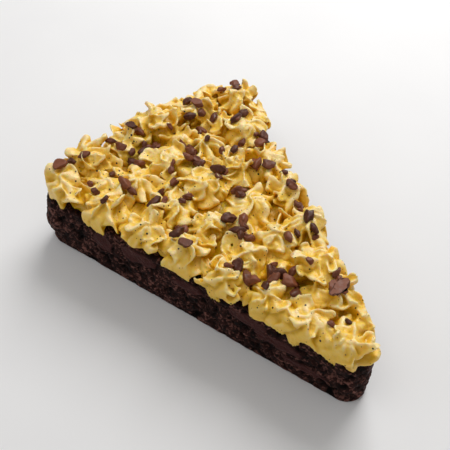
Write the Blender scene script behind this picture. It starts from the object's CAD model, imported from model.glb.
"""A wedge slice of chocolate brownie under piped buttercream, with its finishes and studio.

The solids give the frame. The brownie's crumb, the petals of the piped stars and the chocolate
pieces are made here as surfaces. Lengths are in metres and +Z is up. "Out" and "across" are
measured from the centre of the round bake that the slice was cut from.
"""

import logging
import math
import random
from dataclasses import dataclass, field
from enum import Enum
from functools import reduce

import bpy
import numpy as np
from mathutils import Matrix, Vector
from mathutils.bvhtree import BVHTree


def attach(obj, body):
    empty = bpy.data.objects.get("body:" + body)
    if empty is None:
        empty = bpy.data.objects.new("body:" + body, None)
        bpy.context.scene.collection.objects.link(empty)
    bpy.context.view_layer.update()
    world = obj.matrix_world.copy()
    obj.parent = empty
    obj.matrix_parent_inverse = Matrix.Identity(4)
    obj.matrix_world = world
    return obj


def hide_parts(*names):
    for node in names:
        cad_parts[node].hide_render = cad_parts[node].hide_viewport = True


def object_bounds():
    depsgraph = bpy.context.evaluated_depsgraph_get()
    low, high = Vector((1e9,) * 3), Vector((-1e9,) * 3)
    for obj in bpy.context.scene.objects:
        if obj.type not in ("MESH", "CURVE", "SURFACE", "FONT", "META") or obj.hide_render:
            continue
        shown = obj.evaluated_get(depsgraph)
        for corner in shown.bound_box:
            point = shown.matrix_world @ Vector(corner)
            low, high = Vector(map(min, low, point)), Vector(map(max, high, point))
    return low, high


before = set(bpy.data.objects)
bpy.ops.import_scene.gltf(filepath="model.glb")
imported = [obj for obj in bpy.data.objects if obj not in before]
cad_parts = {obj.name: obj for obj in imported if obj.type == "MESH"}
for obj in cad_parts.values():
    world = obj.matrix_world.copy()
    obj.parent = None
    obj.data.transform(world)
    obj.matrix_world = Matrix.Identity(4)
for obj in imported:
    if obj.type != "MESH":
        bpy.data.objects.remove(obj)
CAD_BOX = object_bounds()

Array = np.ndarray
Pair = tuple[float, float]
Line = tuple[tuple[float, ...], tuple[float, ...]]
Colour = tuple[float, ...]
Draw = np.random.Generator
MM = 0.001
TINY = 1e-12
NO_LIMIT: Pair = (-math.inf, math.inf)
WORD = 0xFFFFFFFF
EVEN_EDGE = 0.45  # "edge" on an even surface; creases have less and rims more
log = logging.getLogger("brownie slice")


# ------------------------------------------------------------------ noise and meshes


def ease(low: float, high: float, value: Array) -> Array:
    """Rises smoothly from 0 at low to 1 at high."""
    share = np.clip((value - low) / (high - low), 0.0, 1.0)
    return share * share * (3.0 - 2.0 * share)


def bell(value: Array, middle: float, width: float) -> Array:
    """One at the middle, falling to both sides as a bell curve of the given width."""
    return np.exp(-(((value - middle) / width) ** 2))


def grown(numbers: Pair, share: Array | float) -> Array | float:
    """The first number, plus the second in proportion to a share."""
    return numbers[0] + numbers[1] * share


def unit(vectors: Array) -> Array:
    """The same directions with a length of one."""
    return vectors / (np.linalg.norm(vectors, axis=-1, keepdims=True) + TINY)


@dataclass(frozen=True)
class Noise:
    """Smooth seeded noise in space: random values on a lattice, blended between its corners.

    The primes and the mixers' shifts and factors scramble a corner's whole numbers. Each use
    has its own seed, and the steps keep the seeds of layers, axes and cells' jitters apart.
    """

    seed: int
    primes: tuple[int, ...] = (73856093, 19349663, 83492791)
    seed_prime: int = 2654435761
    mixers: tuple[tuple[int, int], ...] = ((15, 2246822519), (13, 3266489917))
    last_shift: int = 16
    layer_step: int = 17
    axis_step: int = 101
    jitter_step: int = 7

    def _values(self, cell: Array) -> Array:
        """Gives each lattice corner a repeatable value from -1 to 1 by hashing its indices.

        Args:
            cell: The corners' whole numbers along x, y and z, last.

        Returns:
            The values.
        """
        x, y, z = (cell[..., axis] * prime for axis, prime in enumerate(self.primes))
        mixed = (x ^ y ^ z ^ self.seed * self.seed_prime) & WORD
        for shift, factor in self.mixers:
            mixed = (mixed ^ mixed >> shift) * factor & WORD
        return (mixed ^ mixed >> self.last_shift) / (WORD / 2) - 1.0

    def at(self, points: Array, size: float) -> Array:
        """Blends the eight corners round each point with an eased weight for each axis.

        Args:
            points: Places, with x, y and z last.
            size: The lattice's cell, which is about the size of one lump.

        Returns:
            A value from -1 to 1 for each place.
        """
        cell = np.floor(points / size)
        share = ease(0.0, 1.0, points / size - cell)
        cell = cell.astype(np.int64)
        total = np.zeros(points.shape[:-1])
        for corner in map(np.array, np.ndindex(2, 2, 2)):
            weight = np.prod(np.where(corner == 1, share, 1.0 - share), axis=-1)
            total += weight * self._values(cell + corner)
        return total

    def layered(self, points: Array, size: float, layers: int, gain: float = 0.5) -> Array:
        """Adds layers of noise, each half the size of the last and weaker by the gain.

        Args:
            points: Places, with x, y and z last.
            size: The first layer's lump size.
            layers: How many layers.
            gain: Each layer's strength against the one before.

        Returns:
            A value of about -1 to 1 for each place.
        """
        total = np.zeros(points.shape[:-1])
        for k in range(layers):
            layer = Noise(self.seed + self.layer_step * k)
            total += gain**k * layer.at(points, size / 2**k)
        return total / sum(gain**k for k in range(layers))

    def push(self, points: Array, size: float, amount: float) -> Array:
        """Moves each place by three noises, one for each axis.

        Args:
            points: Places, with x, y and z last.
            size: The lump size.
            amount: The longest move along an axis.

        Returns:
            The moved places.
        """
        seeds = [self.seed + self.axis_step * axis for axis in range(3)]
        moves = [Noise(seed).at(points, size) for seed in seeds]
        return points + amount * np.stack(moves, axis=-1)

    def cells(self, points: Array, size: float) -> Array:
        """Distance to the nearest of a set of seeds, one placed at random in each lattice cell.

        Args:
            points: Places, with x, y and z last.
            size: The lattice's cell.

        Returns:
            The distance for each place, in cells, capped at 1.
        """
        home = np.floor(points / size).astype(np.int64)
        axes = [Noise(self.seed + self.jitter_step * axis) for axis in range(3)]
        best = np.ones(points.shape[:-1])
        for step in np.ndindex(3, 3, 3):
            cell = home + np.array(step) - 1
            jitter = [noise._values(cell) * 0.5 + 0.5 for noise in axes]
            gap = points / size - cell - np.stack(jitter, axis=-1)
            best = np.minimum(best, np.linalg.norm(gap, axis=-1))
        return best

    def domes(self, points: Array, size: float, reach: float) -> Array:
        """Round knobs: the height of a sphere over each seed, 1 at its top and 0 past its reach.

        Args:
            points: Places, with x, y and z last.
            size: The lattice's cell.
            reach: The spheres' radius in cells.

        Returns:
            The height for each place.
        """
        return np.sqrt(1.0 - np.minimum(self.cells(points, size) / reach, 1.0) ** 2)


def tube_faces(bodies: int, rings: int, points: int) -> list[Array]:
    """Faces of closed tubes whose vertices are rings of points, then a first and a last pole.

    Args:
        bodies: How many tubes follow one another in the vertex list.
        rings: Rings in each tube.
        points: Points in each ring.

    Returns:
        The quads between rings and the triangles round the poles.
    """
    ring = np.arange(rings - 1)[:, None] * points
    here = np.arange(points)[None, :]
    after = (here + 1) % points
    quads = np.stack([ring + here, ring + after, ring + points + after, ring + points + here], -1)
    first, last = rings * points, rings * points + 1
    start = np.stack([np.full(points, first), after[0], here[0]], -1)
    end = (rings - 1) * points
    finish = np.stack([np.full(points, last), end + here[0], end + after[0]], -1)
    shift = np.arange(bodies)[:, None, None] * (rings * points + 2)
    quads = (quads.reshape(1, -1, 4) + shift).reshape(-1, 4)
    fans = (np.concatenate([start, finish])[None] + shift).reshape(-1, 3)
    return [quads, fans]


def with_poles(rings: Array) -> Array:
    """Adds a first and a last pole, at the middles of the end rings, to each tube.

    Args:
        rings: Vertices or values, as tube, ring, point and, for vertices, axis.

    Returns:
        The same, flat within each tube, with the two poles after its rings.
    """
    flat = rings.reshape(rings.shape[0], -1, *rings.shape[3:])
    first = rings[:, 0].mean(axis=1, keepdims=True)
    last = rings[:, -1].mean(axis=1, keepdims=True)
    return np.concatenate([flat, first, last], axis=1)


@dataclass
class Surface:
    """Vertices, faces and named values at the vertices, ready to become a piece."""

    vertices: Array
    faces: list[Array]
    values: dict[str, Array] = field(default_factory=dict)

    @classmethod
    def tubes(cls, rings: Array, **values: Array) -> "Surface":
        """Closed tubes, given so that their faces point outward.

        Args:
            rings: Places as tube, ring, point and axis.
            **values: Named values as tube, ring and point.

        Returns:
            The tubes with their poles.
        """
        flat = {name: with_poles(numbers).ravel() for name, numbers in values.items()}
        return cls(with_poles(rings).reshape(-1, 3), tube_faces(*rings.shape[:3]), flat)

    def joined(self, other: "Surface") -> "Surface":
        """Puts another surface after this one.

        Args:
            other: A surface with the same named values.

        Returns:
            Both as one surface.
        """
        faces = self.faces + [block + len(self.vertices) for block in other.faces]
        pairs = {name: (mine, other.values[name]) for name, mine in self.values.items()}
        values = {name: np.concatenate(pair) for name, pair in pairs.items()}
        return Surface(np.concatenate([self.vertices, other.vertices]), faces, values)

    def kept_inside(self, margin: float = 0.05 * MM) -> "Surface":
        """Holds every vertex within the solid model's box.

        Args:
            margin: How far inside the box they stay.

        Returns:
            This surface.
        """
        low, high = (np.array(corner) for corner in CAD_BOX)
        self.vertices = np.clip(self.vertices, low + margin, high - margin)
        return self

    def build(self, name: str, material: bpy.types.Material) -> bpy.types.Object:
        """Makes the object, smooth shaded, at the origin.

        Args:
            name: The piece's name.
            material: The finish of the whole piece.

        Returns:
            The object, linked to the scene.
        """
        mesh = bpy.data.meshes.new(name)
        sizes = np.concatenate([np.full(len(block), block.shape[1]) for block in self.faces])
        corners = np.concatenate([block.ravel() for block in self.faces])
        mesh.vertices.add(len(self.vertices))
        mesh.vertices.foreach_set("co", self.vertices.astype(np.float32).ravel())
        mesh.loops.add(len(corners))
        mesh.loops.foreach_set("vertex_index", corners.astype(np.int32))
        mesh.polygons.add(len(sizes))
        mesh.polygons.foreach_set("loop_start", (np.cumsum(sizes) - sizes).astype(np.int32))
        mesh.polygons.foreach_set("use_smooth", np.ones(len(sizes), dtype=bool))
        for label, numbers in self.values.items():
            layer = mesh.attributes.new(label, "FLOAT", "POINT")
            layer.data.foreach_set("value", numbers.astype(np.float32).ravel())
        mesh.update(calc_edges=True)
        mesh.validate()
        mesh.materials.append(material)
        piece = bpy.data.objects.new(name, mesh)
        bpy.context.scene.collection.objects.link(piece)
        return piece


def neighbours(quads: Array) -> tuple[Array, Array]:
    """Each vertex and the next one in a face; a closed surface has every neighbour once."""
    return quads.ravel(), np.roll(quads, -1, axis=1).ravel()


def summed(values: Array, owners: Array, count: int) -> Array:
    """Adds up rows of values for each vertex that owns them."""
    sums = [np.bincount(owners, weights=column, minlength=count) for column in values.T]
    return np.stack(sums, -1)


def evened(values: Array, quads: Array, turns: int) -> Array:
    """Moves each vertex's values halfway to its neighbours' mean, a few times over.

    Args:
        values: Rows of places or other values, one row a vertex.
        quads: The faces.
        turns: How many times.

    Returns:
        The evened rows.
    """
    ends, others = neighbours(quads)
    count = np.bincount(ends, minlength=len(values))
    linked = count > 0
    values = values.copy()
    for _ in range(turns):
        mean = summed(values[others], ends, len(values))[linked] / count[linked, None]
        values[linked] = 0.5 * values[linked] + 0.5 * mean
    return values


def normals(places: Array, quads: Array) -> Array:
    """The outward direction at each vertex, from the crossed diagonals of the faces round it.

    Args:
        places: The vertices.
        quads: The faces.

    Returns:
        The directions.
    """
    first, second, third, fourth = (places[quads[:, corner]] for corner in range(4))
    crossed = np.cross(third - first, fourth - second).repeat(4, axis=0)
    return unit(summed(crossed, quads.ravel(), len(places)))


def without_specks(places: Array, quads: Array, least: int = 200) -> tuple[Array, Array]:
    """Leaves out the closed surfaces with few faces, which are specks where bodies just miss.

    Each vertex takes the lowest number among its own and its neighbours', over and over, until
    all of one surface have the same.

    Args:
        places: The vertices.
        quads: The faces.
        least: The fewest faces of a surface that is kept.

    Returns:
        The vertices and faces that are left.
    """
    ends, others = neighbours(quads)
    label, settled = np.arange(len(places)), False
    while not settled:
        lowest = label.copy()
        np.minimum.at(lowest, ends, label[others])
        lowest = lowest[lowest]
        label, settled = lowest, np.array_equal(lowest, label)
    home = label[quads[:, 0]]
    kept = quads[np.bincount(home, minlength=len(places))[home] >= least]
    used, numbers = np.unique(kept, return_inverse=True)
    return places[used], numbers.reshape(-1, 4)


# ------------------------------------------------------------------ the slice's plan


@dataclass(frozen=True)
class Plan:
    """The slice seen from above: a wedge of a round bake with a rounded tip and corners."""

    half_angle: float = math.radians(20)
    tin_radius: float = 152 * MM
    tip_rounding: float = 6.4 * MM
    corner_rounding: float = 6 * MM
    centre_x: float = 82 * MM
    brownie_height: float = 25 * MM
    layer_gap: float = 0.3 * MM
    arc_points: int = 60

    @property
    def cream_base(self) -> float:
        """The height of the cream's underside."""
        return self.brownie_height + self.layer_gap

    def placed(self, out: Array, across: Array) -> tuple[Array, Array]:
        """Turns places measured from the bake's centre into the slice's x and y."""
        return self.centre_x - out, -across

    def _arc(self, centre: Array, radius: float, start: float, end: float) -> Array:
        """Points along an arc.

        Args:
            centre: The arc's centre.
            radius: Its radius.
            start: Its first angle.
            end: Its last angle.

        Returns:
            Rows of a point and the outward direction there.
        """
        angle = np.linspace(start, end, self.arc_points)
        direction = np.stack([np.cos(angle), np.sin(angle)], -1)
        return np.concatenate([centre + radius * direction, direction], -1)

    def outline(self, count: int) -> tuple[Array, Array]:
        """Evenly spaced points round the slice, at its side, with outward directions.

        The loop is the near corner's arc, the tin's arc, the far corner's arc and the tip's
        arc, joined by straight cuts.

        Args:
            count: How many points.

        Returns:
            The points and the directions, in the slice's own x and y.
        """
        distance = self.tin_radius - self.corner_rounding
        angle = self.half_angle - math.asin(self.corner_rounding / distance)
        corner = np.array([math.cos(angle), math.sin(angle)]) * distance
        tip = np.array([self.tip_rounding / math.sin(self.half_angle), 0.0])
        turn = math.pi / 2 + self.half_angle
        loop = np.concatenate(
            [
                self._arc(corner, self.corner_rounding, turn, angle),
                self._arc(np.zeros(2), self.tin_radius, angle, -angle)[1:],
                self._arc(corner * [1, -1], self.corner_rounding, -angle, -turn)[1:],
                self._arc(tip, self.tip_rounding, -turn, turn - math.tau),
            ]
        )
        loop = np.concatenate([loop, loop[:1]])
        steps = np.linalg.norm(np.diff(loop[:, :2], axis=0), axis=1)
        run = np.concatenate([[0.0], np.cumsum(steps)])
        even = np.linspace(0.0, run[-1], count, endpoint=False)
        read = np.stack([np.interp(even, run, column) for column in loop.T], -1)
        return np.stack(self.placed(read[:, 0], read[:, 1]), -1), -unit(read[:, 2:])

    def stacked(self, count: int, profile: Array, middle: Array) -> tuple[Array, Array]:
        """Rings round the slice, one after another along a profile.

        Each is the outline moved in by its inset, then drawn towards the middle by its share.

        Args:
            count: How many points a ring has.
            profile: Each ring's inset, height and share.
            middle: The place that the rings are drawn to.

        Returns:
            The places as ring, point and axis, and the outline's outward directions.
        """
        points, direction = self.outline(count)
        inset, height, share = (column[:, None, None] for column in profile.T)
        flat = (points - inset * direction) * (1 - share) + middle * share
        return np.concatenate([flat, np.broadcast_to(height, (*flat.shape[:2], 1))], -1), direction

    def outside(self, x: Array, y: Array) -> Array:
        """How far places lie outside the slice seen from above, negative inside.

        Near the tip it is the distance from the tip's circle. Elsewhere the distances from
        the nearer cut and from the tin are joined by a quarter circle at their corner.

        Args:
            x: Places along the slice.
            y: Places across it.

        Returns:
            The distances.
        """
        out, across = self.centre_x - x, np.abs(y)
        sine, cosine = math.sin(self.half_angle), math.cos(self.half_angle)
        cut = across * cosine - out * sine + self.corner_rounding
        tin = np.hypot(out, across) - self.tin_radius + self.corner_rounding
        corner = np.hypot(np.maximum(cut, 0.0), np.maximum(tin, 0.0))
        corner = corner + np.minimum(np.maximum(cut, tin), 0.0) - self.corner_rounding
        tip_out = self.tip_rounding / sine
        tip = np.hypot(out - tip_out, across) - self.tip_rounding
        at_tip = out * cosine + across * sine < tip_out * cosine
        return np.where(at_tip, tip, corner)

    def beyond(self, x: Array, y: Array, step: float = 0.05 * MM) -> tuple[Array, Array]:
        """How far places lie outside, and the outward direction, from small steps each way.

        Args:
            x: Places along the slice.
            y: Places across it.
            step: The length of the steps.

        Returns:
            The distance outside and the direction in x and y.
        """
        along = self.outside(x + step, y) - self.outside(x - step, y)
        across = self.outside(x, y + step) - self.outside(x, y - step)
        return self.outside(x, y), np.stack([along, across], -1) / (2 * step)


PLAN = Plan()


# ------------------------------------------------------------------ the buttercream


@dataclass(frozen=True)
class Ruffle:
    """How one ring of petals runs, in a star of unit size and in millimetres.

    Each line is a row of distances from the axis over a row of heights, from the top of the
    axis out to the petals' ends and back underneath: over a petal that hangs, over one that
    stands out, and down in the groove between two petals.
    """

    hanging: Line
    standing: Line
    groove: Line
    rings: int
    points: int
    petals: tuple[int, int]
    least_broad: float = 0.0


class Tier(Enum):
    """The rings of petals that a star may have, from the lowest up."""

    LOWER = Ruffle(
        hanging=(
            (0, 1.6, 3.6, 6.0, 8.3, 9.9, 10.1, 7.5, 0),
            (9.2, 9.6, 9.3, 8.2, 6.2, 3.9, 2.0, 1.1, 0.4),
        ),
        standing=(
            (0, 1.6, 3.8, 6.4, 8.9, 11.0, 11.1, 8.0, 0),
            (9.0, 9.2, 8.7, 7.7, 7.2, 7.3, 5.9, 4.4, 0.4),
        ),
        groove=(
            (0, 0.8, 1.7, 2.9, 4.2, 5.5, 5.8, 4.2, 0),
            (8.6, 7.9, 6.7, 5.2, 3.8, 2.5, 1.4, 0.8, 0.2),
        ),
        rings=38,
        points=20,
        petals=(8, 10),
    )
    UPPER = Ruffle(
        hanging=(
            (0, 0.9, 2.2, 4.0, 5.9, 7.4, 7.3, 5.0, 0),
            (9.7, 10.1, 10.1, 9.5, 8.4, 7.0, 5.9, 5.1, 4.2),
        ),
        standing=(
            (0, 0.9, 2.3, 4.3, 6.4, 8.1, 8.2, 5.4, 0),
            (9.5, 9.8, 9.8, 9.6, 9.9, 10.3, 9.2, 7.4, 4.2),
        ),
        groove=(
            (0, 0.6, 1.3, 2.1, 2.9, 3.5, 3.5, 2.4, 0),
            (9.1, 8.6, 7.9, 7.0, 6.3, 5.6, 5.0, 4.5, 4.1),
        ),
        rings=30,
        points=18,
        petals=(5, 7),
        least_broad=0.15,
    )
    TOP = Ruffle(
        hanging=(
            (0, 0.4, 1.1, 2.1, 3.2, 4.0, 3.9, 2.6, 0),
            (9.8, 10.3, 10.7, 10.5, 9.7, 8.7, 8.0, 7.4, 7.0),
        ),
        standing=(
            (0, 0.5, 1.3, 2.4, 3.7, 4.8, 4.9, 3.4, 0),
            (9.8, 10.4, 10.9, 11.2, 11.3, 11.3, 10.5, 9.0, 7.0),
        ),
        groove=(
            (0, 0.3, 0.7, 1.1, 1.5, 1.9, 1.9, 1.3, 0),
            (9.5, 9.3, 9.0, 8.6, 8.2, 7.9, 7.5, 7.2, 6.9),
        ),
        rings=20,
        points=14,
        petals=(3, 4),
        least_broad=0.4,
    )


def around(rings: Array, reach: int) -> Array:
    """The mean of each place and its neighbours on a tube.

    Args:
        rings: The tube's vertices as ring, point and axis.
        reach: How many neighbours are taken each way.

    Returns:
        The means, in the same order.
    """
    steps = range(-reach, reach + 1)
    mean = sum(np.roll(rings, step, axis=1) for step in steps) / len(steps)
    mean = np.concatenate([mean[:1].repeat(reach, 0), mean, mean[-1:].repeat(reach, 0)])
    return sum(mean[reach + step : reach + step + len(rings)] for step in steps) / len(steps)


def outward(rings: Array) -> Array:
    """The outward direction at each place of a tube, from the cross product of its two slopes.

    Args:
        rings: The tube's vertices as ring, point and axis.

    Returns:
        The directions, in the same order.
    """
    across = np.roll(rings, -1, axis=1) - np.roll(rings, 1, axis=1)
    normal = unit(np.cross(across, np.gradient(rings, axis=0)))
    return normal * np.sign(((rings - rings.mean(axis=(0, 1))) * normal).sum(-1).mean())


def through(line: Line, count: int, clear: float = 0.12) -> Array:
    """A smooth line through knots, each span a cubic with slopes taken from its neighbours.

    Args:
        line: The knots' distances and heights.
        count: How many points to read, evenly along the knots' numbers.
        clear: How far from the first and last knots the reading stays, in knots.

    Returns:
        The points.
    """
    known = np.array(line, dtype=float).T
    along = np.linspace(clear, len(known) - (1 + clear), count)
    first = np.minimum(along.astype(int), len(known) - 2)
    t = (along - first)[:, None]
    before, start = known[np.maximum(first - 1, 0)], known[first]
    end, after = known[first + 1], known[np.minimum(first + 2, len(known) - 1)]
    bend = 2 * before - 5 * start + 4 * end - after
    twist = 3 * start - before - 3 * end + after
    return 0.5 * (2 * start + (end - before) * t + bend * t**2 + twist * t**3)


@dataclass(frozen=True)
class Star:
    """One piped star's place, size, height above the brownie's top and turn."""

    out: float
    across: float
    size: float
    foot: float
    turn: float


@dataclass(frozen=True)
class Petals:
    """How freely the petals of a ring vary.

    A drawn number has a mean and a spread, or the limits that it is drawn between; "held" are
    the limits that it is cut to. A bell has a middle and a width, along the line from the top
    of the axis at 0 to its foot at 1, or across a petal from -1 to 1. "By breadth" is a number
    for the narrowest petals and what full breadth adds to it.
    """

    groove_strays: float = 0.18
    outer_from: Pair = (0.0, 0.6)
    inner_power: float = 1.25
    outer_power_by_breadth: Pair = (0.6, 2.2)
    end: Pair = (0.68, 0.13)
    lift: Pair = (0.45, 0.5)
    lift_held: Pair = (-0.1, 1.25)
    length: Pair = (0.8, 1.12)
    height: Pair = (0.86, 1.1)
    groove_filled: float = 0.22
    bulge_by_breadth: Pair = (-0.1, 0.5)
    lean: Pair = (0.5, 0.6)
    lean_power: float = 1.5
    screw: Pair = (0.7, 0.35)
    tilt: Pair = (0.0, 1.4 * MM)
    tilt_rises: Pair = (0.1, 0.5)
    tilt_fades: Pair = (1.0, 0.75)
    wave: float = 0.7 * MM
    half_waves: float = 3.0
    cup: Pair = (1.8, 0.9)
    cup_held: Pair = (0.0, 3.4)
    cup_by_breadth: Pair = (0.4, 0.6)
    cup_across: Pair = (0.0, 0.48)
    cup_along: Pair = (0.44, 0.15)
    curl: Pair = (0.3, 0.7)
    curl_held: Pair = (-0.3, 1.6)
    sway: Pair = (0.0, 1.0 * MM)
    sway_height: float = 10 * MM

    def drawn(self, draw: Draw, habit: Pair, count: int, held: Pair = NO_LIMIT) -> Array:
        """Numbers with a mean and a spread, cut to limits, one for each petal."""
        return np.clip(draw.normal(*habit, count), *held)[None, :, None]

    def lines(self, ruffle: Ruffle, count: int, broad: float, rise: Array, draw: Draw) -> Array:
        """Distance from the axis and height all over the petals.

        Each petal's own line lies between the hanging and the standing one and has its own
        length and height. Across the petal, the surface goes from the groove's line to that
        one in proportion to the rise.

        Args:
            ruffle: The ring's lines.
            count: How many petals.
            broad: From 0 for narrow ridges to 1 for broad petals.
            rise: From 0 in a groove to 1 on a crest.
            draw: Where the uneven sizes come from.

        Returns:
            The distance and the height as ring, petal, point and which of the two.
        """
        known = (ruffle.hanging, ruffle.standing, ruffle.groove)
        hanging, standing, groove = (through(line, ruffle.rings) * MM for line in known)
        lifted = self.drawn(draw, self.lift, count, self.lift_held).reshape(count, 1, 1)
        crest = hanging + (standing - hanging) * lifted
        sizes = [draw.uniform(*limits, (count, 1)) for limits in (self.length, self.height)]
        crest = (crest * np.stack(sizes, -1)).transpose(1, 0, 2)[:, :, None, :]
        valley = (groove + (hanging - groove) * self.groove_filled * broad)[:, None, None, :]
        return valley + (crest - valley) * rise[..., None]

    def ring(self, star: Star, ruffle: Ruffle, count: int, broad: float, draw: Draw) -> Array:
        """One closed body of petals.

        Across a petal, from groove to groove, the rise is one minus a power of the distance
        from its middle; the power grows outward, so ridges become rounded lobes. The angle
        bulges past the groove by a sine, so broad petals overlap; it leans to one side, and
        the whole body turns with height like a screw. Bells hollow the petal's middle and
        lift its end, sines tilt it and wave its rim, and the top sways with height squared.

        Args:
            star: The star that it belongs to.
            ruffle: The ring's lines.
            count: How many petals.
            broad: From 0 for narrow ridges to 1 for broad petals.
            draw: Where the uneven sizes come from.

        Returns:
            The places as ring, point and axis.
        """
        strays = draw.uniform(-self.groove_strays, self.groove_strays, count)
        bounds = (np.arange(count + 1) + np.append(strays, 0.0)) / count
        bounds[-1] = bounds[0] + 1.0
        bounds *= math.tau
        middle, half = (bounds[1:] + bounds[:-1]) / 2, np.diff(bounds)[None, :, None] / 2
        share = np.linspace(-1.0, 1.0, ruffle.points, endpoint=False)
        along = np.linspace(0.0, 1.0, ruffle.rings)[:, None, None]
        outer, swing = ease(*self.outer_from, along), np.sin(math.pi * share)
        power = grown((self.inner_power, grown(self.outer_power_by_breadth, broad)), outer)
        rise, end = 1.0 - np.abs(share) ** power, bell(along, *self.end)
        line = self.lines(ruffle, count, broad, rise, draw)

        lean = self.drawn(draw, self.lean, count) * half
        angle = middle[None, :, None] + half * (share + grown(self.bulge_by_breadth, broad) * swing)
        angle = angle + lean * rise**self.lean_power * outer
        angle = angle + star.turn + draw.normal(*self.screw) * (1.0 - outer)

        tilt = self.drawn(draw, self.tilt, count) * swing
        tilt = tilt * ease(*self.tilt_rises, along) * ease(*self.tilt_fades, along)
        phase = draw.uniform(0, math.tau, count)[None, :, None]
        wave = self.wave * np.sin(self.half_waves * math.pi * share + phase) * rise * end
        cup = self.drawn(draw, self.cup, count, self.cup_held)
        cup = cup * grown(self.cup_by_breadth, broad) * MM
        cup = cup * bell(share, *self.cup_across) * bell(along, *self.cup_along)
        curl = self.drawn(draw, self.curl, count, self.curl_held) * MM * rise * end
        line[..., 1] += tilt + wave + curl - cup

        distance, height = np.moveaxis(line * star.size, -1, 0)
        x, y = PLAN.placed(star.out, star.across)
        pull = (height / self.sway_height) ** 2
        x = x + distance * np.cos(angle) + pull * draw.normal(*self.sway)
        y = y + distance * np.sin(angle) + pull * draw.normal(*self.sway)
        z = PLAN.cream_base + star.foot + height
        return np.stack([x, y, z], -1).reshape(ruffle.rings, -1, 3)


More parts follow.
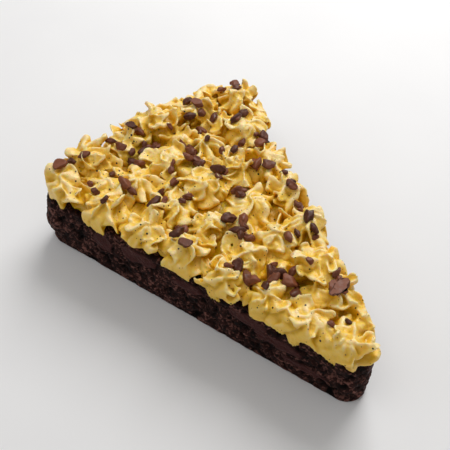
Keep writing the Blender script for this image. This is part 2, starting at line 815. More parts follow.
@dataclass
class Buttercream:
    """The piped stars, the cream that shows between them and what each is made of.

    The arcs give a radius and the stars' angles, in millimetres and degrees. The fillers are
    smaller swirls, a row of places out over a row of places across, in millimetres. A wander
    is a lump size and a longest move; a fine one has its seed before it, and after it how it
    grows with the edge.
    """

    petals: Petals = Petals()
    seed: int = 11
    wander_seed: int = 23
    arcs: tuple[tuple[float, tuple[float, ...]], ...] = (
        (20.5, (11,)),
        (36.3, (14.5, -8)),
        (49.5, (14, -10.5)),
        (67, (17.2, 6, -5.5, -15.5)),
        (85.5, (16.4, 7.5, -4.6, -15.8)),
        (103, (16.8, 9.3, 1, -7.6, -15.8)),
        (122, (17.2, 9.5, 1.6, -6.7, -15.2)),
        (142.3, (17.4, 11.6, 5, -2, -9.3, -16.8)),
    )
    star_size: Pair = (0.94, 1.06)
    star_foot: float = 0.8 * MM
    fillers: Line = (
        (147, 150, 128, 55.5, 123.5, 127, 130, 150.5, 113.5, 24, 112.5, 77.5),
        (-34.5, -15, -25.5, 1.5, -43.5, 30.5, -6.5, 4, -5.5, -7.5, 11, 2),
    )
    filler_size: float = 0.72
    filler_foot: Pair = (0.2, 1.6)
    filler_petals: tuple[int, int] = (5, 6)
    breadth: Pair = (0.1, 1.0)
    groups: tuple[tuple[str, int, int], ...] = (
        ("piped_stars_tip", 0, 9),
        ("piped_stars_front", 9, 18),
        ("piped_stars_middle", 18, 26),
        ("piped_stars_wide", 26, 34),
        ("piped_stars_back", 34, 41),
    )
    plump: float = 0.2 * MM
    ring_proud: float = 0.9 * MM
    broad_wander: Pair = (6.0 * MM, 1.2 * MM)
    fine_wanders: tuple[tuple[int, Pair, Pair], ...] = (
        (32, (2.6 * MM, 0.60 * MM), (0.7, 0.7)),
        (33, (1.3 * MM, 0.18 * MM), (0.8, 0.4)),
    )
    # Past the brownie's side the cream is free for a way, then reaches out and droops. Each
    # changes with the side that faces the tip, the back or across, and at the back corner.
    free_reach: float = 0.2 * MM
    free_at_tip: float = 0.5 * MM
    free_at_corner: float = -1.6 * MM
    soft_reach: float = 1.9 * MM
    reach_across: float = -0.35
    reach_at_back: float = 0.35
    reach_at_corner: float = -0.75
    droop: float = 0.65
    droop_from: float = 4 * MM
    over_brownie: float = 0.5 * MM
    corner: Pair = (-58 * MM, -51 * MM)
    corner_size: float = 13 * MM
    # The melted skin: its cells, how often it is evened, and how its rims are found.
    grain: float = 0.375 * MM
    evening: int = 4
    surroundings: int = 14
    skin_proud: float = 0.42 * MM
    skin_wander: Pair = (1.3 * MM, 0.08 * MM)
    # How open each place is to the sky, on a grid of cells and by steps of so many cells.
    cell: float = 0.5 * MM
    directions: int = 8
    steps: tuple[int, ...] = (1, 2, 3, 4, 6, 9, 13)
    sky_evening: int = 8
    edge_in_sky: float = 0.4
    # The bed between the stars, with insets and heights in millimetres.
    bed_points: int = 420
    bed_side: Line = ((3.6, 3.0, 2.8, 3.2, 4.0), (0.0, 0.8, 2.0, 2.8, 3.4))
    bed_inset: Pair = (5.0, 34)
    bed_height: float = 3.9
    bed_levels: int = 34
    bed_shrink: float = 0.97
    bed_lumps: Pair = (4 * MM, 1.6)
    bed_side_wander: Pair = (3.5 * MM, 1.4 * MM)
    bed_edge: Pair = (0.35, 0.3)

    def stars(self) -> list[Star]:
        """Each star, in order from the tip to the back, with a drawn size and turn.

        Returns:
            The stars and the smaller swirls between them.
        """
        draw = random.Random(self.seed)
        found = []
        for radius, degrees in self.arcs:
            for angle in map(math.radians, degrees):
                out, across = radius * MM * math.cos(angle), radius * MM * math.sin(angle)
                size, turn = draw.uniform(*self.star_size), draw.uniform(0, math.tau)
                found.append(Star(out, across, size, self.star_foot, turn))
        for out, across in zip(*self.fillers):
            foot, turn = draw.uniform(*self.filler_foot) * MM, draw.uniform(0, math.tau)
            found.append(Star(out * MM, across * MM, self.filler_size, foot, turn))
        return sorted(found, key=lambda star: star.out)

    def ring(self, star: Star, tier: Tier, count: int, broad: float, draw: Draw) -> Surface:
        """One closed body of petals, evened and made a little plumper.

        Args:
            star: The star that it belongs to.
            tier: Which of the star's rings it is, which gives its lines.
            count: How many petals.
            broad: From 0 for narrow ridges to 1 for broad petals.
            draw: Where the uneven sizes come from.

        Returns:
            The body, with "edge" from 0 in the creases to 1 on the rims.
        """
        rings = around(self.petals.ring(star, tier.value, count, broad, draw)[::-1], 1)
        rings = rings + self.plump * outward(rings)
        proud = ((rings - around(rings, 3)) * outward(rings)).sum(-1)
        edge = np.clip(EVEN_EDGE + proud / self.ring_proud, 0.0, 1.0)
        return Surface.tubes(rings[None], edge=edge[None])

    def star(self, star: Star, draw: Draw) -> Surface:
        """A whole star: its lower petals, then on most of them a second and a third ring.

        Args:
            star: The star.
            draw: Where the uneven sizes come from.

        Returns:
            Its bodies.
        """
        broad = float(draw.uniform(*self.breadth))
        small = star.size <= self.filler_size
        made = []
        for tier in Tier:
            fewest, most = self.filler_petals if small and tier is Tier.LOWER else tier.value.petals
            if broad > tier.value.least_broad and not (small and tier is Tier.TOP):
                count = int(draw.integers(fewest, most + 1))
                made.append(self.ring(star, tier, count, broad, draw))
        return reduce(Surface.joined, made)

    def bed(self) -> Surface:
        """The cream between the stars: the slice's outline, drawn in, under a lumpy top.

        Rings of the outline shrink towards the middle with the cube of their inset; the
        height is a rounded edge plus layered noise.

        Returns:
            The closed bed.
        """
        inset = np.append(self.bed_side[0], np.linspace(*self.bed_inset, self.bed_levels)) * MM
        height = np.append(self.bed_side[1], np.full(self.bed_levels, self.bed_height)) * MM
        share = self.bed_shrink * np.minimum(1.0, inset / (self.bed_inset[1] * MM)) ** 3
        middle = PLAN.outline(self.bed_points)[0].mean(axis=0)
        profile = np.stack([inset, PLAN.cream_base + height, share], -1)
        places, _ = PLAN.stacked(self.bed_points, profile, middle)
        size, high = self.bed_lumps
        places[2:, :, 2] += Noise(41).layered(places, size, 3)[2:] * high * MM
        side = len(self.bed_side[0])
        places[:side] = Noise(43).push(places[:side], *self.bed_side_wander)
        rings = places[None, ::-1]
        edge = grown(self.bed_edge, Noise(42).layered(rings, 3 * MM, 2))
        return Surface.tubes(rings, edge=edge)

    def settle(self, surface: Surface) -> Surface:
        """Wanders, roughens and lets hang what the piping left.

        The places move by broad noise, then finer. Past the side of the slice, their reach
        follows a hyperbolic tangent up to its limit, and they sink the farther out they were.
        Both limits depend on which way the side faces, and on how near the back corner is.

        Args:
            surface: The cream as piped.

        Returns:
            The same cream, uneven.
        """
        edge = surface.values["edge"][:, None]
        places = Noise(31).push(surface.vertices, *self.broad_wander)
        for seed, wander, by_edge in self.fine_wanders:
            move = Noise(seed).push(places, *wander) - places
            places = places + grown(by_edge, edge) * move
        outside, direction = PLAN.beyond(places[:, 0], places[:, 1])
        near = np.exp(-(np.sum((places[:, :2] - self.corner) ** 2, axis=1) / self.corner_size**2))
        free = self.free_reach + self.free_at_tip * direction[:, 0] + self.free_at_corner * near
        outside = np.clip(outside - free, 0.0, None)
        facing_back = np.minimum(direction[:, 0], 0.0)
        reach = 1.0 + self.reach_across * direction[:, 1] + self.reach_at_back * facing_back
        reach = self.soft_reach * reach * grown((1.0, self.reach_at_corner), near)
        kept = reach * np.tanh(outside / reach)
        places[:, :2] -= direction * (outside - kept)[:, None]
        sunk = self.droop * (outside**2 + kept * outside) / (outside + self.droop_from)
        places[:, 2] -= sunk
        above = PLAN.beyond(places[:, 0], places[:, 1])[0] < self.over_brownie
        held = np.maximum(places[:, 2], PLAN.cream_base)
        places[:, 2] = np.where(above, held, places[:, 2])
        surface.vertices = places
        return surface

    def melt(self, surface: Surface, material: bpy.types.Material) -> Surface:
        """Joins the bodies that overlap in one soft closed skin.

        The skin is drawn on a grid of cells round all that lies in any body, and its vertices
        are evened. How far each one stands out from its evened surroundings gives "edge".

        Args:
            surface: Closed bodies.
            material: The cream's finish.

        Returns:
            The skin, with "edge" from 0 in the creases to 1 on the rims.
        """
        piece = surface.build("bodies", material)
        bodies = piece.data
        skin = piece.modifiers.new("skin", "REMESH")
        skin.mode, skin.voxel_size = "VOXEL", self.grain
        seen = bpy.context.evaluated_depsgraph_get()
        mesh = bpy.data.meshes.new_from_object(piece.evaluated_get(seen))
        places = np.empty(len(mesh.vertices) * 3)
        mesh.vertices.foreach_get("co", places)
        quads = np.empty(len(mesh.polygons) * 4, dtype=int)
        mesh.polygons.foreach_get("vertices", quads)
        bpy.data.objects.remove(piece)
        for spare in (mesh, bodies):
            bpy.data.meshes.remove(spare)
        places, quads = without_specks(places.reshape(-1, 3), quads.reshape(-1, 4))
        places = evened(places, quads, self.evening)
        places = Noise(34).push(places, *self.skin_wander)
        proud = places - evened(places, quads, self.surroundings)
        proud = (proud * normals(places, quads)).sum(-1)
        edge = np.clip(EVEN_EDGE + proud / self.skin_proud, 0.0, 1.0)
        return Surface(places, [quads], {"edge": edge})

    def shade(self, surfaces: list[Surface]) -> None:
        """Adds to "edge" how open each place is to the sky over the rest of the cream.

        A grid keeps the highest cream in each cell. In each direction the steepest rise to a
        higher cell gives the horizon, and one minus the horizon's sine is the share of sky;
        the mean of all directions is the openness.

        Args:
            surfaces: All of the cream.
        """
        low, high = (np.array(corner) for corner in CAD_BOX)
        columns = (high - low) / self.cell
        top = np.zeros((int(columns[0]) + 2, int(columns[1]) + 2))
        limit = np.array(top.shape) - 1
        cells = []
        for surface in surfaces:
            cell = ((surface.vertices - low)[:, :2] / self.cell).astype(int)
            cells.append(np.clip(cell, 0, limit))
            np.maximum.at(top, tuple(cells[-1].T), surface.vertices[:, 2])
        for surface, cell in zip(surfaces, cells):
            sky = np.zeros(len(cell))
            for turn in np.arange(self.directions) * math.tau / self.directions:
                steepest = np.zeros(len(cell))
                for step in self.steps:
                    move = np.round(step * np.array([math.cos(turn), math.sin(turn)])).astype(int)
                    there = top[tuple(np.clip(cell + move, 0, limit).T)]
                    rise = (there - surface.vertices[:, 2]) / (step * self.cell)
                    steepest = np.maximum(steepest, rise)
                sky += (1.0 - steepest / np.sqrt(1.0 + steepest**2)) / self.directions
            sky = evened(sky[:, None], surface.faces[0], self.sky_evening)[:, 0]
            relief = self.edge_in_sky * (surface.values["edge"] - EVEN_EDGE)
            surface.values["edge"] = np.clip(sky + relief, 0.0, 1.0)

    def build(self, material: bpy.types.Material) -> list[bpy.types.Object]:
        """Makes the bed, then the stars in five groups from the tip to the back, each melted.

        Args:
            material: The cream's finish.

        Returns:
            The pieces.
        """
        made = [
            self.star(star, np.random.default_rng((self.wander_seed, k)))
            for k, star in enumerate(self.stars())
        ]
        surfaces = {"cream_bed": self.settle(self.bed())}
        for name, first, after in self.groups:
            group = self.settle(reduce(Surface.joined, made[first:after]))
            surfaces[name] = self.melt(group, material)
        self.shade(list(surfaces.values()))
        return [surface.kept_inside().build(name, material) for name, surface in surfaces.items()]


# ------------------------------------------------------------------ the chocolate pieces


@dataclass(frozen=True)
class Chip:
    """One chocolate piece: its place, half length, shares of it, turn, and whether a clump."""

    out: float
    across: float
    half_length: float
    width: float
    thickness: float
    turn: float
    knobbly: bool


@dataclass
class ChocolatePieces:
    """The chopped chocolate scattered on the cream, thicker in some places.

    A cluster is its place out and across, how many pieces it has and how far they spread, in
    millimetres. Sizes inside a piece are shares of its half length. A piece rests between the
    mean and the highest of the places that it stands on, in the shares that "rest" gives.
    """

    seed: int = 3257
    clusters: tuple[tuple[float, float, int, float], ...] = (
        (20, 5, 2, 3), (37.5, -9.5, 3, 2.5), (46.5, 6, 8, 4), (56, 3, 4, 2.5),
        (58, -18.5, 1, 1), (62.5, 14.5, 5, 3), (62.5, -9, 2, 2), (68, -20, 3, 4),
        (77, 3, 5, 3), (79.5, 28, 1, 1), (83, -24.5, 3, 3.5), (89, 20, 3, 2.5),
        (90.5, -9, 2, 3), (95, -21, 2, 3), (100.5, -2, 3, 3.5), (105.5, 18, 5, 4),
        (107, -20, 4, 3.5), (113, -33, 2, 4), (116.5, -3.5, 7, 3.5), (124, -30.5, 4, 3.5),
        (125, -13, 4, 3.5), (125, 32, 6, 5), (131, 2, 6, 5.5), (136, 14, 6, 5.5),
        (138, -20.5, 4, 4), (140, -40.5, 3, 4), (144, 38, 3, 3),
    )
    loose: int = 4
    loose_area: Pair = (0.01, 0.96)
    loose_angle: float = 0.92
    large: tuple[Pair, ...] = ((35, -5), (133, 3))
    large_scale: float = 1.5
    half_length: Pair = (1.4 * MM, 2.9 * MM)
    width_share: Pair = (0.45, 0.75)
    thickness_share: Pair = (0.40, 0.60)
    poles: Pair = (0.07, 0.93)
    facets: int = 12
    facet_depth: Pair = (0.68, 0.96)
    clump_depth: float = 0.2
    lumps: Pair = (0.7, 0.26)
    knobs: Pair = (0.85, 0.62)
    knob_height: Pair = (0.62, 0.5)
    fullness: float = 1.18
    sunk: float = 0.25
    footing: float = 0.75
    rest: Pair = (0.6, 0.4)
    upright: float = 0.7
    drop_height: float = 0.1
    clear_of_edge: float = 4.8 * MM
    golden: float = 0.618
    rings: int = 15
    points: int = 22

    def places(self) -> list[Chip]:
        """Draws the pieces: those of the clusters, a few loose ones and the large ones.

        Returns:
            The pieces.
        """
        draw = random.Random(self.seed)
        spots = []
        for out, across, count, spread in self.clusters:
            spots += [(draw.gauss(out, spread), draw.gauss(across, spread)) for _ in range(count)]
        for _ in range(self.loose):
            out = PLAN.tin_radius / MM * math.sqrt(draw.uniform(*self.loose_area))
            angle = PLAN.half_angle * draw.uniform(-self.loose_angle, self.loose_angle)
            spots.append((out * math.cos(angle), out * math.sin(angle)))
        found = []
        for spot in spots + list(self.large):
            knobbly = spot in self.large
            half_length = draw.uniform(*self.half_length) * (self.large_scale if knobbly else 1.0)
            width, thickness = draw.uniform(*self.width_share), draw.uniform(*self.thickness_share)
            # A turn is drawn for each axis; the slope of the cream gives the first two instead.
            _, _, turn = (draw.uniform(0, math.tau) for _ in range(3))
            out, across = spot[0] * MM, spot[1] * MM
            found.append(Chip(out, across, half_length, width, thickness, turn, knobbly))
        return found

    def nugget(self, axes: Array, seed: int, knobbly: bool) -> Array:
        """One piece about the origin: an ellipsoid cut by a few flat facets and pushed by noise.

        Args:
            axes: The half sizes along x, y and z.
            seed: What makes this piece unlike the others.
            knobbly: Whether it is a clump, whose knobs are spheres over seeds in its surface.

        Returns:
            The vertices.
        """
        slope = np.linspace(*self.poles, self.rings)[:, None] * math.pi
        turn = np.linspace(0.0, math.tau, self.points, endpoint=False)[None, :]
        level = np.cos(slope) * np.ones_like(turn)
        ball = np.stack([np.sin(slope) * np.cos(turn), np.sin(slope) * np.sin(turn), level], -1)
        draw = np.random.default_rng(seed)
        facets = draw.normal(size=(self.facets, 3))
        facets /= np.linalg.norm(facets, axis=1, keepdims=True)
        depth = draw.uniform(*self.facet_depth, self.facets) + self.clump_depth * knobbly
        for facet, far in zip(facets, depth):
            ball = ball - np.maximum(ball @ facet - far, 0.0)[..., None] * facet
        lumpy = Noise(seed).push(ball, *self.lumps)
        if knobbly:
            knobs = Noise(seed).domes(lumpy, *self.knobs)
            lumpy *= grown(self.knob_height, knobs[..., None])
        return with_poles((lumpy * axes)[None, ::-1])[0]

    def touched(self, trees: list[BVHTree], x: float, y: float, reach: float) -> list[Vector]:
        """Where five straight drops land: at a place, and a short way east, north, west, south.

        Args:
            trees: What is dropped on.
            x: The place along the slice.
            y: The place across it.
            reach: How far the four outer drops are from the place.

        Returns:
            The highest point struck by each drop that strikes any.
        """
        found = []
        for dx, dy in ((0, 0), (reach, 0), (0, reach), (-reach, 0), (0, -reach)):
            start = Vector((x + dx, y + dy, self.drop_height))
            hits = [tree.ray_cast(start, Vector((0, 0, -1)))[0] for tree in trees]
            hits = [hit for hit in hits if hit is not None]
            if hits:
                found.append(max(hits, key=lambda hit: hit.z))
        return found

    def dropped(self, chip: Chip, seed: int, trees: list[BVHTree]) -> Array | None:
        """One piece laid on the cream and sunk a little, square to the slope that it meets.

        Args:
            chip: The piece.
            seed: What makes it unlike the others.
            trees: What it is dropped on.

        Returns:
            Its vertices, or nothing where there is no cream under it.
        """
        x, y = PLAN.placed(chip.out, chip.across)
        outside, direction = PLAN.beyond(np.array(x), np.array(y))
        back = max(float(outside) + self.clear_of_edge, 0.0) * direction
        x, y = x - float(back[0]), y - float(back[1])
        spots = self.touched(trees, x, y, self.footing * chip.half_length)
        if not spots:
            return None
        place = sum(spots, Vector()) / len(spots)
        place.z = self.rest[0] * place.z + self.rest[1] * max(spot.z for spot in spots)
        up = Vector((0, 0, 1.0))
        if len(spots) == 5:
            _, east, north, west, south = spots
            up = (east - west).cross(north - south).normalized() + Vector((0, 0, self.upright))
            up.normalize()
        half = chip.half_length
        axes = np.array([half, half * chip.width, half * chip.thickness]) * self.fullness
        tilt = up.to_track_quat("Z", "Y").to_matrix() @ Matrix.Rotation(chip.turn, 3, "Z")
        centre = place + up * axes[2] * (1 - self.sunk)
        return self.nugget(axes, seed, chip.knobbly) @ np.array(tilt).T + np.array(centre)

    def build(
        self, under: list[bpy.types.Object], material: bpy.types.Material
    ) -> bpy.types.Object:
        """Drops every piece on the cream.

        Args:
            under: What the pieces lie on.
            material: Their finish.

        Returns:
            All the pieces as one object.
        """
        seen = bpy.context.evaluated_depsgraph_get()
        trees = [BVHTree.FromObject(piece, seen) for piece in under]
        bodies, shade = [], []
        for k, chip in enumerate(self.places()):
            body = self.dropped(chip, 60 + k, trees)
            if body is not None:
                bodies.append(body)
                shade.append(np.full(len(body), (k * self.golden) % 1.0))
        faces = tube_faces(len(bodies), self.rings, self.points)
        whole = Surface(np.concatenate(bodies), faces, {"shade": np.concatenate(shade)})
        return whole.kept_inside().build("chocolate_pieces", material)


# ------------------------------------------------------------------ the brownie


@dataclass
class Brownie:
    """The wedge of brownie: torn crumb with pits, and smoother patches where it was cut.

    Insets and slabs are in millimetres; a slab is its middle's distance out and height, its
    half length and its half height. A crumb is a cell's size and a sphere's share of it, and
    its push is a strength and the height that leaves the wall where it is. The pits go by
    the coarse crumbs, the fine ones and the lumps.
    """

    flare: float = 1.3 * MM
    around: int = 940
    levels: int = 60
    foot: float = 0.5 * MM
    rounding: float = 1.4 * MM
    round_from: float = 0.15
    round_levels: int = 5
    under_insets: tuple[float, ...] = (30, 16, 8, 4, 2, 0.8)
    top_insets: tuple[float, ...] = (2.2, 3.2, 4.6, 7, 11, 18, 30)
    shrink_insets: Pair = (4 * MM, 30 * MM)
    shrink: float = 0.96
    middle_out: float = 0.1
    relief: float = 1.25 * MM
    bend: Pair = (3 * MM, 0.9 * MM)
    lump_size: float = 8 * MM
    lump_layers: int = 4
    lump_gain: float = 0.6
    flattened: tuple[float, ...] = (1.0, 1.0, 1.5)
    lump_push: float = 0.9
    coarse_crumb: Pair = (3.8 * MM, 0.8)
    coarse_push: Pair = (1.2, 0.6)
    fine_crumb: Pair = (1.8 * MM, 0.8)
    fine_push: Pair = (0.6, 0.55)
    slab_wander: Pair = (5 * MM, 0.45)
    slab_border: Pair = (1.05, 0.97)
    far_slab_size: float = 13 * MM
    far_slab_flattened: tuple[float, ...] = (1, 1, 1.9)
    far_slab_border: Pair = (0.26, 0.34)
    slab_flatness: float = 0.9
    slab_proud: Pair = (-0.45, 0.5)
    slab_rim: float = 0.45
    foot_fades: Pair = (0.0, 2.0 * MM)
    top_fades: float = 1.0 * MM
    top_push: float = 0.35
    pit_depth: float = 1.3
    pit_by: tuple[float, ...] = (0.8, 0.5, 0.5)
    pit_at_rim: float = 0.8
    tint_cells: Pair = (1.8 * MM, 0.6)
    tint_clouds: Pair = (2.2 * MM, 0.4)
    corner: Pair = (-56 * MM, -50 * MM)
    corner_size: float = 9 * MM
    waist: Pair = (14 * MM, 8 * MM)
    waist_bulge: Pair = (0.5 * MM, 1.9 * MM)
    near_slabs: tuple[tuple[float, float, float, float], ...] = (
        (113.8, 18.0, 4.5, 4.0),
        (97.5, 20.5, 8.0, 3.6),
        (76.0, 19.0, 6.0, 3.0),
        (52.0, 19.5, 9.0, 2.6),
        (40.0, 15.5, 8.0, 2.8),
        (28.0, 8.8, 9.0, 1.8),
    )

    def profile(self) -> Array:
        """The side from the underside's middle out, up the wall and over the top edge.

        Returns:
            Rows of an inset, a height and the share by which the ring is drawn to the middle.
        """
        top = PLAN.brownie_height
        wall = np.linspace(self.foot, top - self.rounding, self.levels)
        curve = np.linspace(self.round_from, 1.0, self.round_levels) * math.pi / 2
        parts = [
            (np.array(self.under_insets) * MM - self.flare, np.zeros(len(self.under_insets))),
            (-self.flare * (1 - wall / top), wall),
            (self.rounding * (1 - np.cos(curve)), top - self.rounding * (1 - np.sin(curve))),
            (np.array(self.top_insets) * MM, np.full(len(self.top_insets), top)),
        ]
        inset, height = (np.concatenate(column) for column in zip(*parts))
        return np.stack([inset, height, ease(*self.shrink_insets, inset) * self.shrink], -1)

    def slabs(self, places: Array) -> Array:
        """How much each place belongs to a smooth slab, from 0 to 1.

        Args:
            places: Places on the wedge's surface.

        Returns:
            The share: 1 on the slabs of the near cut side and on those that noise picks out.
        """
        out, high = PLAN.centre_x - places[..., 0], places[..., 2]
        size, strength = self.slab_wander
        wander = strength * Noise(56).layered(places, size, 3)
        picked = Noise(51).layered(places * self.far_slab_flattened, self.far_slab_size, 2)
        near = places[..., 1] < 0
        share = np.where(near, 0.0, ease(*self.far_slab_border, picked))
        for middle, height, length, tall in self.near_slabs:
            along, up = (out - middle * MM) / (length * MM), (high - height * MM) / (tall * MM)
            slab = ease(*self.slab_border, np.hypot(along, up) + wander)
            share = np.maximum(share, near * slab)
        return share

    def surface(self) -> Surface:
        """The whole wedge, closed.

        The side is pushed in and out by layered noise and by round crumbs, whose height is a
        sphere's over each cell's seed, and stands out flatter on the slabs. Bells at half
        height and at the back corner let it bulge.

        Returns:
            The surface, with "smooth" for the slabs, "pit" for the creases and "tint" for
            the crumbs' tones.
        """
        profile, middle = self.profile(), np.array(PLAN.placed(self.middle_out, 0.0))
        places, direction = PLAN.stacked(self.around, profile, middle)
        slab = self.slabs(places)
        bent = Noise(57).push(places, *self.bend)
        squat = bent * self.flattened
        lumps = Noise(52).layered(squat, self.lump_size, self.lump_layers, self.lump_gain)
        coarse = Noise(53).domes(bent, *self.coarse_crumb)
        fine = Noise(54).domes(bent, *self.fine_crumb)
        rough, rim = 1.0 - self.slab_flatness * slab, 4.0 * slab * (1.0 - slab)
        crumbs = self.coarse_push[0] * (coarse - self.coarse_push[1])
        crumbs = crumbs + self.fine_push[0] * (fine - self.fine_push[1])
        push = self.lump_push * lumps + rough * crumbs
        push = push + self.slab_proud[1] * slab + self.slab_proud[0]
        push = (push - self.slab_rim * rim) * self.relief
        corner = np.hypot(places[..., 0] - self.corner[0], places[..., 1] - self.corner[1])
        bulge = grown(self.waist_bulge, bell(corner, 0.0, self.corner_size))
        push += bell(places[..., 2], *self.waist) * bulge
        wall = ease(*self.foot_fades, places[..., 2]) * (1 - profile[:, 2:])
        places[..., :2] += direction * (push * wall)[..., None]
        over = ease(PLAN.brownie_height - self.top_fades, PLAN.brownie_height, places[..., 2])
        places[..., 2] += over * np.minimum(self.top_push * push, 0.0)
        by_coarse, by_fine, by_lumps = self.pit_by
        hollow = self.pit_depth - by_coarse * coarse - by_fine * fine - by_lumps * lumps
        pit = np.clip(rough * hollow + self.pit_at_rim * rim, 0.0, 1.0)
        (cell, by_cell), (cloud, by_cloud) = self.tint_cells, self.tint_clouds
        tint = Noise(58).cells(bent, cell) * by_cell + by_cloud * Noise(59).at(bent, cloud)
        places, slab, pit, tint = (rows[None, ::-1] for rows in (places, slab, pit, tint))
        return Surface.tubes(places, smooth=slab, pit=pit, tint=tint)

    def build(self, material: bpy.types.Material) -> bpy.types.Object:
        """Makes the wedge in the crumb's finish."""
        return self.surface().kept_inside().build("brownie_crumb", material)


# ------------------------------------------------------------------ finishes


class Value:
    """A shader socket that takes part in Python arithmetic."""

    def __init__(self, graph: "Graph", socket: bpy.types.NodeSocket) -> None:
        """Keeps the socket and the graph that it is in."""
        self.graph = graph
        self.socket = socket

    def __add__(self, other: "Value | float") -> "Value":
        """Adds a value or a number."""
        return self.graph.maths("ADD", self, other)

    def __sub__(self, other: "Value | float") -> "Value":
        """Takes away a value or a number."""
        return self.graph.maths("SUBTRACT", self, other)

    def __rsub__(self, other: float) -> "Value":
        """Takes this value away from a number."""
        return self.graph.maths("SUBTRACT", other, self)

    def __mul__(self, other: "Value | float") -> "Value":
        """Multiplies by a value or a number."""
        return self.graph.maths("MULTIPLY", self, other)

    __radd__ = __add__
    __rmul__ = __mul__

    def eased(self, low: float, high: float, start: float = 0.0, end: float = 1.0) -> "Value":
        """Goes smoothly from start to end as this value goes from low to high.

        Args:
            low: Where it starts to change.
            high: Where it stops.
            start: What it is at first.
            end: What it is at last.

        Returns:
            The eased value.
        """
        node = self.graph.node(
            "ShaderNodeMapRange",
            {"interpolation_type": "SMOOTHSTEP"},
            {"Value": self, "From Min": low, "From Max": high, "To Min": start, "To Max": end},
        )
        return Value(self.graph, node.outputs["Result"])


class Graph:
    """A material's nodes, made from words and values."""

    def __init__(self, name: str) -> None:
        """Starts a material with a bare Principled shader.

        Args:
            name: The material's name.
        """
        self.material = bpy.data.materials.new(name)
        self.material.use_nodes = True
        self.tree = self.material.node_tree
        self.shader = self.tree.nodes["Principled BSDF"]
        self.place = self.node("ShaderNodeTexCoord", {}, {}).outputs["Object"]

    def set_input(self, socket: bpy.types.NodeSocket, value: object) -> None:
        """Links a value or a socket to an input, or sets a constant on it.

        Args:
            socket: The input.
            value: What goes into it.
        """
        if isinstance(value, Value):
            value = value.socket
        if isinstance(value, bpy.types.NodeSocket):
            self.tree.links.new(value, socket)
        else:
            socket.default_value = value

    def node(self, kind: str, settings: dict, inputs: dict) -> bpy.types.Node:
        """Adds a node.

        Args:
            kind: The node's type.
            settings: Its properties, set before its sockets.
            inputs: What goes into each named or numbered input.

        Returns:
            The node.
        """
        node = self.tree.nodes.new(kind)
        for name, setting in settings.items():
            setattr(node, name, setting)
        for name, value in inputs.items():
            self.set_input(node.inputs[name], value)
        return node

    def maths(self, operation: str, first: object, second: object) -> Value:
        """Adds a Math node of two values or numbers."""
        node = self.node("ShaderNodeMath", {"operation": operation}, {0: first, 1: second})
        return Value(self, node.outputs[0])

    def mixed(self, share: Value, first: object, second: object) -> Value:
        """Blends two colours, from the first at 0 to the second at 1."""
        inputs = {"Factor": share, 6: first, 7: second}
        return Value(self, self.node("ShaderNodeMix", {"data_type": "RGBA"}, inputs).outputs[2])

    def noise(self, size: float, detail: float = 2.0, rough: float = 0.5) -> Value:
        """Noise with lumps of about the given size in metres, from 0 to 1."""
        inputs = {"Vector": self.place, "Scale": 1.0 / size, "Detail": detail, "Roughness": rough}
        return Value(self, self.node("ShaderNodeTexNoise", {}, inputs).outputs["Fac"])

    def dots(self, size: float) -> tuple[Value, Value]:
        """Cells with a dot at each middle.

        Args:
            size: A cell's size in metres.

        Returns:
            The distance from the nearest middle, and a number for each cell.
        """
        inputs = {"Vector": self.place, "Scale": 1.0 / size}
        node = self.node("ShaderNodeTexVoronoi", {}, inputs)
        apart = self.node("ShaderNodeSeparateColor", {}, {"Color": node.outputs["Color"]})
        return Value(self, node.outputs["Distance"]), Value(self, apart.outputs["Red"])

    def attribute(self, name: str) -> Value:
        """A number kept at the mesh's vertices."""
        node = self.node("ShaderNodeAttribute", {"attribute_name": name}, {})
        return Value(self, node.outputs["Fac"])

    def relief(self, height: Value, depth: float) -> Value:
        """A normal bent by a height from 0 to 1 that stands for a depth in metres."""
        inputs = {"Height": height, "Strength": 1.0, "Distance": depth}
        return Value(self, self.node("ShaderNodeBump", {}, inputs).outputs["Normal"])

    def finish(self, **inputs: object) -> bpy.types.Material:
        """Sets the shader's inputs.

        Args:
            **inputs: What goes into each, named with underscores for spaces.

        Returns:
            The material.
        """
        for name, value in inputs.items():
            self.set_input(self.shader.inputs[name.replace("_", " ")], value)
        return self.material


def tone(red: int, green: int, blue: int) -> Colour:
    """A colour from screen numbers, made linear by the screen's own curve.

    Args:
        red: From 0 to 255.
        green: From 0 to 255.
        blue: From 0 to 255.

    Returns:
        The colour for the shader.
    """
    shares = [channel / 255 for channel in (red, green, blue)]
    linear = [c / 12.92 if c <= 0.04045 else ((c + 0.055) / 1.055) ** 2.4 for c in shares]
    return (*linear, 1.0)


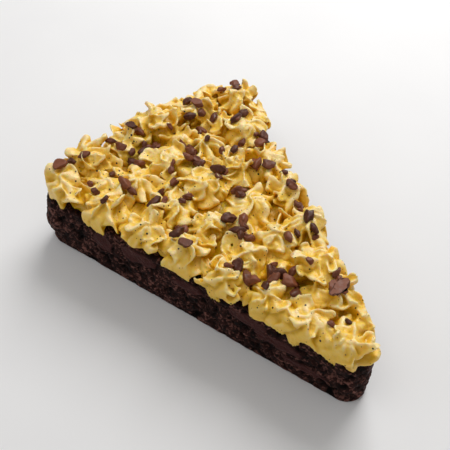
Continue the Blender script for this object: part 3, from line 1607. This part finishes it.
@dataclass(frozen=True)
class CreamFinish:
    """Vanilla buttercream: deep yellow in its creases, pale on its rims, with vanilla specks.

    A border is where one tone starts to give way to the next and where it is gone. A spread
    is how unlike one another the specks are, and a bump is a lump size and its share.
    """

    pale: Colour = tone(255, 224, 160)
    body: Colour = tone(250, 205, 78)
    deep: Colour = tone(220, 171, 4)
    speck: Colour = tone(20, 12, 8)
    fleck: Colour = tone(150, 100, 34)
    body_border: Pair = (0.1, 0.55)
    pale_border: Pair = (0.5, 0.95)
    cloud_size: float = 4 * MM
    cloudiness: float = 0.14
    speck_cell: float = 1.7 * MM
    speck_spread: float = 0.34
    speck_border: Pair = (0.20, 0.23)
    strewn_size: float = 9 * MM
    strewn: float = 0.35
    fleck_cell: float = 1.2 * MM
    fleck_spread: float = 0.8
    fleck_border: Pair = (0.18, 0.27)
    fleck_strength: float = 0.8
    satin_size: float = 3 * MM
    satin: Pair = (0.3, 0.46)
    fine_bump: Pair = (0.7 * MM, 0.3)
    broad_bump: Pair = (1.5 * MM, 0.7)
    bump_depth: float = 0.55 * MM
    soft_depth: float = 1.4 * MM

    def material(self) -> bpy.types.Material:
        """Builds the finish.

        Returns:
            The material.
        """
        graph = Graph("vanilla buttercream")
        cloud = graph.noise(self.cloud_size, 4.0)
        edge = graph.attribute("edge") + (cloud - 0.5) * self.cloudiness
        colour = graph.mixed(edge.eased(*self.body_border), self.deep, self.body)
        colour = graph.mixed(edge.eased(*self.pale_border), colour, self.pale)
        far, pick = graph.dots(self.speck_cell)
        strewn = (graph.noise(self.strewn_size) - 0.5) * self.strewn
        dark = (far + pick * self.speck_spread + strewn).eased(*self.speck_border, 1.0, 0.0)
        small, choice = graph.dots(self.fleck_cell)
        brown = small + choice * self.fleck_spread
        brown = brown.eased(*self.fleck_border, self.fleck_strength, 0.0)
        colour = graph.mixed(brown, colour, self.fleck)
        colour = graph.mixed(dark, colour, self.speck)
        (fine, by_fine), (broad, by_broad) = self.fine_bump, self.broad_bump
        bumps = graph.noise(fine) * by_fine + graph.noise(broad) * by_broad
        return graph.finish(
            Base_Color=colour,
            Roughness=graph.noise(self.satin_size).eased(0.3, 0.7, *self.satin),
            Normal=graph.relief(bumps, self.bump_depth),
            Subsurface_Weight=0.5,
            Subsurface_Radius=(1.0, 0.6, 0.18),
            Subsurface_Scale=self.soft_depth,
            Specular_IOR_Level=0.35,
            Coat_Weight=0.25,
            Coat_Roughness=0.16,
        )


@dataclass(frozen=True)
class ChocolateFinish:
    """Milk chocolate with a soft sheen and a faint bloom.

    A border is where one tone starts to give way to the next and where it is gone.
    """

    dark: Colour = tone(74, 35, 20)
    milk: Colour = tone(128, 72, 46)
    bloom: Colour = tone(172, 122, 90)
    cloud_size: float = 1.8 * MM
    milk_by_shade: float = 0.6
    milk_by_cloud: float = 0.5
    milk_border: Pair = (0.2, 0.9)
    bloom_size: float = 0.9 * MM
    bloom_border: Pair = (0.56, 0.8)
    bloom_strength: float = 0.35
    sheen: Pair = (0.34, 0.55)
    bump_size: float = 0.7 * MM
    bump_depth: float = 0.12 * MM
    soft_depth: float = 0.6 * MM

    def material(self) -> bpy.types.Material:
        """Builds the finish.

        Returns:
            The material.
        """
        graph = Graph("chocolate pieces")
        shade = graph.attribute("shade")
        cloud = graph.noise(self.cloud_size, 3.0)
        milky = shade * self.milk_by_shade + cloud * self.milk_by_cloud
        colour = graph.mixed(milky.eased(*self.milk_border), self.dark, self.milk)
        bloomed = graph.noise(self.bloom_size, 4.0)
        bloomed = bloomed.eased(*self.bloom_border, 0.0, self.bloom_strength)
        return graph.finish(
            Base_Color=graph.mixed(bloomed, colour, self.bloom),
            Roughness=cloud.eased(0.3, 0.7, *self.sheen),
            Normal=graph.relief(graph.noise(self.bump_size, 3.0), self.bump_depth),
            Subsurface_Weight=0.05,
            Subsurface_Radius=(1.0, 0.5, 0.3),
            Subsurface_Scale=self.soft_depth,
            Specular_IOR_Level=0.32,
        )


@dataclass(frozen=True)
class CrumbFinish:
    """Dense dark brownie: matt torn crumb, damp in its pits, and smoother cut patches.

    A border is where one tone starts to give way to the next and where it is gone.
    """

    black: Colour = tone(10, 4, 3)
    crumb: Colour = tone(64, 34, 29)
    warm: Colour = tone(146, 98, 88)
    cut: Colour = tone(70, 34, 31)
    grain_size: float = 1.4 * MM
    grain_by_tint: float = 0.5
    grain_border: Pair = (0.05, 0.45)
    warm_size: float = 1.0 * MM
    warm_by_tint: float = 0.35
    warm_border: Pair = (0.40, 0.58)
    cut_size: float = 2.0 * MM
    cut_strength: Pair = (0.75, 1.0)
    cut_evenness: float = 0.6
    bump_size: float = 0.9 * MM
    bump_depth: float = 1.3 * MM
    crumbly: float = 0.65
    rough: float = 0.55
    rough_by_grain: float = 0.3
    rough_by_cut: float = -0.2

    def material(self) -> bpy.types.Material:
        """Builds the finish.

        Returns:
            The material.
        """
        graph = Graph("dark brownie crumb")
        smooth, pit, tint = map(graph.attribute, ("smooth", "pit", "tint"))
        grains = graph.noise(self.grain_size, 4.0, self.crumbly)
        grained = (grains - tint * self.grain_by_tint).eased(*self.grain_border)
        colour = graph.mixed(grained, self.black, self.crumb)
        warmed = graph.noise(self.warm_size, 3.0) - tint * self.warm_by_tint
        colour = graph.mixed(warmed.eased(*self.warm_border), colour, self.warm)
        sliced = smooth * graph.noise(self.cut_size, 4.0).eased(0.3, 0.6, *self.cut_strength)
        colour = graph.mixed(sliced, colour, self.cut)
        bumps = graph.noise(self.bump_size, 4.0, self.crumbly)
        bumps = bumps * (1.0 - smooth * self.cut_evenness)
        return graph.finish(
            Base_Color=graph.mixed(pit, colour, self.black),
            Roughness=smooth * self.rough_by_cut + grains * self.rough_by_grain + self.rough,
            Normal=graph.relief(bumps, self.bump_depth),
            Specular_IOR_Level=0.1,
        )


# ------------------------------------------------------------------ the studio


WARM_WHITE = (1.0, 0.99, 0.97)
COOL_WHITE = (0.97, 0.98, 1.0)


@dataclass(frozen=True)
class Lamp:
    """A square soft light: where it hangs, its side, its strength in watts and its colour."""

    name: str
    place: tuple[float, ...]
    side: float
    power: float
    colour: tuple[float, ...]

    def hang(self) -> None:
        """Adds the light, aimed at the slice."""
        lamp = bpy.data.lights.new(self.name, "AREA")
        lamp.energy, lamp.size, lamp.color = self.power, self.side, self.colour
        holder = bpy.data.objects.new(self.name, lamp)
        holder.location = self.place
        holder.rotation_euler = (-Vector(self.place)).to_track_quat("-Z", "Y").to_euler()
        bpy.context.scene.collection.objects.link(holder)


@dataclass(frozen=True)
class Studio:
    """The pale floor, the soft lights and the camera."""

    camera_place: tuple[float, ...] = (0.11821, -0.09639, 0.22405)
    camera_aim: tuple[float, ...] = (-0.0083, -0.0001, 0.020)
    lens: float = 52.67
    sensor: float = 36.0
    nearest: float = 0.01
    half_floor: float = 1.5
    lamps: tuple[Lamp, ...] = (
        Lamp("key", (-0.22, 0.41, 0.53), 0.42, 3.52, WARM_WHITE),
        Lamp("fill", (-0.35, -0.55, 0.50), 0.5, 0.4, COOL_WHITE),
        Lamp("top", (-0.04, -0.18, 0.75), 0.35, 0.56, WARM_WHITE),
    )
    room_strength: float = 0.31

    def floor(self) -> bpy.types.Object:
        """A wide pale floor with a faint unevenness in its tone.

        Returns:
            The floor.
        """
        graph = Graph("pale floor")
        colour = graph.mixed(graph.noise(60 * MM), tone(238, 238, 240), tone(245, 245, 246))
        material = graph.finish(Base_Color=colour, Roughness=0.85)
        corners = np.array([[-1, -1, 0], [1, -1, 0], [1, 1, 0], [-1, 1, 0]]) * self.half_floor
        return Surface(corners, [np.array([[0, 1, 2, 3]])]).build("floor", material)

    def camera(self) -> None:
        """Adds the camera, looking down at the slice's cut side and tip."""
        data = bpy.data.cameras.new("camera")
        data.lens, data.sensor_width, data.clip_start = self.lens, self.sensor, self.nearest
        holder = bpy.data.objects.new("camera", data)
        holder.location = self.camera_place
        aim = Vector(self.camera_aim) - Vector(self.camera_place)
        holder.rotation_euler = aim.to_track_quat("-Z", "Y").to_euler()
        bpy.context.scene.collection.objects.link(holder)
        bpy.context.scene.camera = holder

    def build(self) -> None:
        """Sets up everything round the slice."""
        self.floor()
        for lamp in self.lamps:
            lamp.hang()
        world = bpy.data.worlds.new("soft room")
        world.use_nodes = True
        room = world.node_tree.nodes["Background"].inputs
        room["Color"].default_value = (*WARM_WHITE, 1.0)
        room["Strength"].default_value = self.room_strength
        bpy.context.scene.world = world
        bpy.context.scene.view_settings.view_transform = "Standard"
        self.camera()


def dress(piece: bpy.types.Object, node: str) -> None:
    """Lets a piece stand for a solid, ride with it and take its finish's slot.

    Args:
        piece: The piece.
        node: The solid that it replaces, whose slot has the same name.
    """
    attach(piece, "root")
    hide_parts(node)
    log.info("%s: %d faces, stands for %s", piece.name, len(piece.data.polygons), node)


def main() -> None:
    """Builds the slice, then the studio."""
    logging.basicConfig(level=logging.INFO, format="%(name)s: %(message)s")
    dress(Brownie().build(CrumbFinish().material()), "brownie")
    cream = Buttercream().build(CreamFinish().material())
    for piece in cream:
        dress(piece, "buttercream")
    dress(ChocolatePieces().build(cream, ChocolateFinish().material()), "buttercream")
    Studio().build()


if __name__ == "__main__":
    main()
